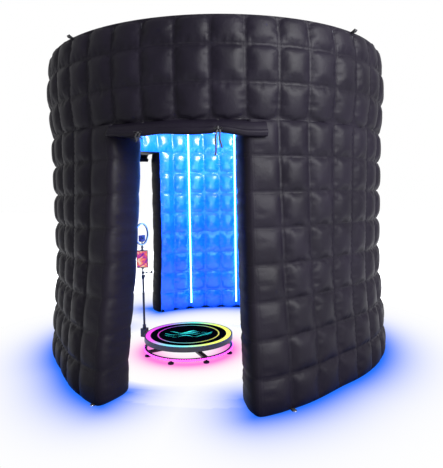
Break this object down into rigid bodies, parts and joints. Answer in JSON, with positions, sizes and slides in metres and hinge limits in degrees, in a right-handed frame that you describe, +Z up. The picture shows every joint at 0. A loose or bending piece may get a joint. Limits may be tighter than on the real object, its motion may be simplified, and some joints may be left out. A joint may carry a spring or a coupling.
{
  "type": "inflatable photo booth with spinning camera platform",
  "caption": "Round open-topped inflatable booth of quilted cloth with doorways, round a lit standing platform with a turning arm that carries a camera, ring light and tablet.",
  "frame": {"origin": "on the floor, on the axis of the round tent", "axes": "+Z up along the tent's axis, -Y out through the middle of the front doorway, +X to the right when looking in through it"},
  "size_m": [3.1136, 3.0892, 2.607],
  "materials": {
    "tent_black": "woven, slight sheen",
    "tent_silver": "coated, glossy",
    "baffle_cloth": "plain woven",
    "webbing": "woven tape",
    "light_cyan": "lit silicone",
    "light_magenta": "lit silicone",
    "light_ring": "lit acrylic",
    "rubber_black": "moulded",
    "steel_black": "powder coated",
    "steel_grey": "powder coated",
    "steel_bright": "ground",
    "alloy": "machined",
    "deck_black": "polished",
    "plastic_black": "moulded",
    "plastic_red": "moulded",
    "plastic_white": "moulded",
    "camera_shell": "moulded",
    "screen_glass": "polished"
  },
  "bodies": {
    "root": {"header_outer_skin": "tent_black", "left_wall_outer_skin": "tent_black", "right_wall_outer_skin": "tent_black", "top_panel": "tent_black", "base_panels": "tent_black", "front_door_jambs": "tent_black", "rear_door_jambs": "tent_black", "door_lintels": "tent_black", "front_curtain": "tent_black", "rear_curtain": "tent_black", "header_inner_skin": "tent_silver", "left_wall_inner_skin": "tent_silver", "right_wall_inner_skin": "tent_silver", "vertical_baffles": "baffle_cloth", "ring_baffles": "baffle_cloth", "curtain_ties": "webbing", "tie_down_tabs": "webbing", "zip_tape": "webbing", "wall_led_strips": "light_cyan", "hoop_led_strip": "light_magenta", "deck_outer_light": "light_ring", "deck_inner_light": "light_ring", "foot_pads": "rubber_black", "drive_belt": "rubber_black", "base_spokes": "steel_black", "lower_hoop": "steel_black", "centre_column": "steel_black", "deck_skirt": "steel_grey", "deck_frame": "steel_grey", "bearing_inner_race": "steel_bright", "bearing_balls": "steel_bright", "gear_motor": "steel_bright", "blower_motors": "steel_bright", "deck_top": "deck_black", "led_driver": "plastic_black", "power_inlet": "plastic_black", "blower_housings": "plastic_black", "blower_grilles": "plastic_black", "control_box": "plastic_black"},
    "camera_arm": {"arm_hub": "alloy", "bearing_outer_race": "steel_bright", "arm_beam": "steel_black", "pole_bracket": "steel_black", "lower_tube": "steel_black", "clamp_collar": "plastic_black"},
    "motor_rotor": {"motor_pulley": "alloy"},
    "pole_top": {"upper_tube": "steel_black"},
    "pole_knob": {"clamp_knob": "plastic_black"},
    "ring_head": {"ring_light": "plastic_black", "ring_diffuser": "plastic_white", "camera_clamp": "plastic_black", "camera": "camera_shell"},
    "tablet_head": {"tablet_clamp": "plastic_black", "tablet": "screen_glass"},
    "accessory_arm": {"side_arm": "plastic_black"},
    "fan_1": {"blower_fan_1": "plastic_white"},
    "fan_2": {"blower_fan_2": "plastic_white"},
    "zip_pull": {"zip_slider": "steel_bright"},
    "switch_key": {"power_switch": "plastic_red"},
    "speed_dial": {"speed_knob": "alloy"}
  },
  "joints": [
    {"name": "arm_spin", "type": "hinge", "parent": "root", "child": "camera_arm", "pos_m": [-0.215, -0.385, 0.096], "axis": [0, 0, 1], "continuous": true},
    {"name": "motor_spin", "type": "hinge", "parent": "root", "child": "motor_rotor", "pos_m": [-0.19154, -0.23685, 0.077], "axis": [0, 0, 1], "continuous": true},
    {"name": "pole_extend", "type": "slide", "parent": "camera_arm", "child": "pole_top", "axis": [0, 0, 1], "range_m": [0, 0.26]},
    {"name": "pole_clamp_turn", "type": "hinge", "parent": "camera_arm", "child": "pole_knob", "pos_m": [-0.67864, -0.26077, 0.65], "axis": [0.2588, 0.9659, 0], "range_deg": [-180, 180]},
    {"name": "ring_tilt", "type": "hinge", "parent": "pole_top", "child": "ring_head", "pos_m": [-0.67864, -0.26077, 0.935], "axis": [-0.2588, -0.9659, 0], "range_deg": [-30, 30]},
    {"name": "tablet_swivel", "type": "hinge", "parent": "pole_top", "child": "tablet_head", "pos_m": [-0.67864, -0.26077, 0.817], "axis": [0, 0, 1], "range_deg": [-60, 60]},
    {"name": "side_arm_swivel", "type": "hinge", "parent": "pole_top", "child": "accessory_arm", "pos_m": [-0.67864, -0.26077, 0.684], "axis": [0, 0, 1], "range_deg": [-90, 90]},
    {"name": "fan_1_spin", "type": "hinge", "parent": "root", "child": "fan_1", "pos_m": [1.44873, 0.11402, 0.119], "axis": [0.9969, 0.0785, 0], "continuous": true},
    {"name": "fan_2_spin", "type": "hinge", "parent": "root", "child": "fan_2", "pos_m": [1.10503, 0.94378, 0.119], "axis": [0.7604, 0.6494, 0], "continuous": true},
    {"name": "zip_travel", "type": "slide", "parent": "root", "child": "zip_pull", "axis": [0, 0, 1], "range_m": [0, 0.476]},
    {"name": "switch_rock", "type": "hinge", "parent": "root", "child": "switch_key", "pos_m": [-0.13158, -0.01814, 0.067], "axis": [0, 0, 1], "range_deg": [-8, 8]},
    {"name": "speed_turn", "type": "hinge", "parent": "root", "child": "speed_dial", "pos_m": [-0.18097, -0.01032, 0.067], "axis": [0.1564, 0.9877, 0], "range_deg": [0, 270]}
  ],
  "couplings": [
    {"joint": "motor_spin", "follows": "arm_spin", "ratio": 6}
  ]
}
